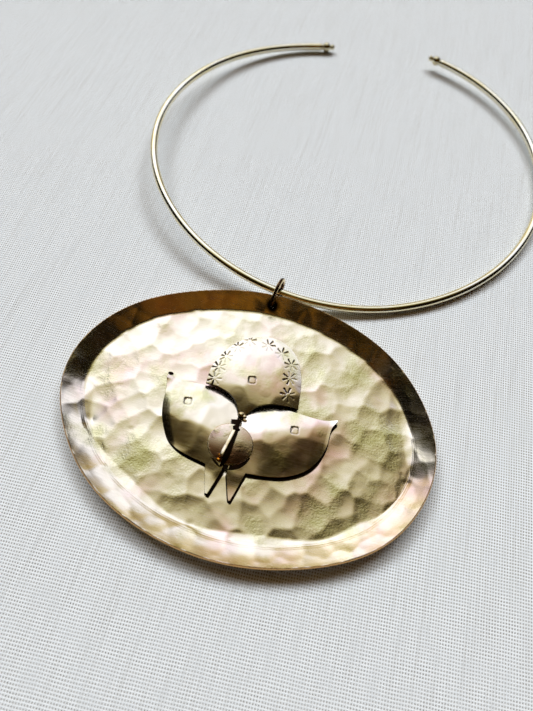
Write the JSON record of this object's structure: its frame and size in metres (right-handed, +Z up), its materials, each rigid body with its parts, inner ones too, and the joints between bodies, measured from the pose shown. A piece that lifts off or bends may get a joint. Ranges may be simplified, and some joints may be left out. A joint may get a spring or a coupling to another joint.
{
  "type": "choker",
  "caption": "Open neck ring of round brass wire with ball ends, and a hammered oval brass pendant with an applied flower, hung from it on a jump ring",
  "frame": {"origin": "the middle of the pendant's flat back, on the table that the choker lies on", "axes": "X along the pendant's long axis, Y from the pendant towards the neck, Z up from the table, the way the pendant's face looks"},
  "size_m": [0.1398, 0.2071, 0.0096],
  "materials": {
    "polished_brass": "polished round wire, pale golden",
    "dark_bronze": "toned dark brown, worn bright on the edges",
    "hammered_brass": "hammered and satin polished, pale golden with olive and brown in the hollows"
  },
  "bodies": {
    "root": {"neck_ring": "polished_brass", "jump_ring": "dark_bronze", "pendant": "hammered_brass"}
  },
  "joints": []
}
